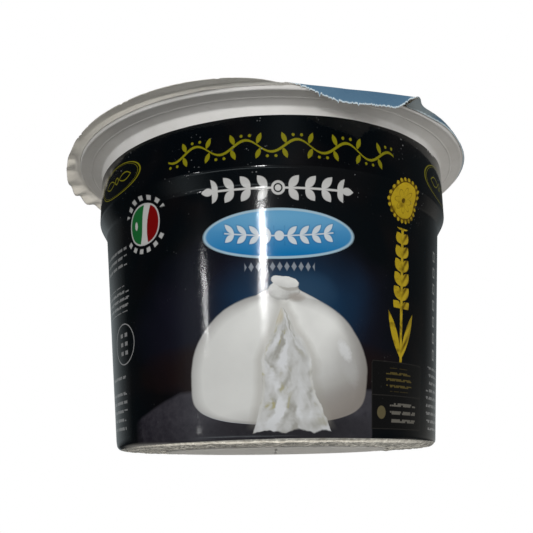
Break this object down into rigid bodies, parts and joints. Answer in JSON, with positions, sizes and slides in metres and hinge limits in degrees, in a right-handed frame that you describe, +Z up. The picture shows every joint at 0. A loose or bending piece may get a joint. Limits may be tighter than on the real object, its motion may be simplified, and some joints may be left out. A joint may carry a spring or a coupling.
{
  "type": "sealed burrata tub",
  "caption": "Shut round plastic tub of burrata cheese with a black printed shrink sleeve and a peelable film lid whose tab is folded down over the rim.",
  "frame": {"origin": "centre of the tub's flat base, on the tub's axis", "axes": "+Z up along the tub's axis, -Y the front of the print, +X to the right seen from the front"},
  "size_m": [0.1004, 0.101, 0.0683],
  "materials": {
    "cup_white": "smooth moulded white polypropylene, semi-matt",
    "sleeve_print": "glossy black shrink film with a coloured print, clear and crinkled at its hem",
    "film_blue": "thin glossy lidding film, blue outside and grey-white inside"
  },
  "bodies": {
    "root": {"cup": "cup_white", "sleeve": "sleeve_print", "lid_film": "film_blue"}
  },
  "joints": []
}
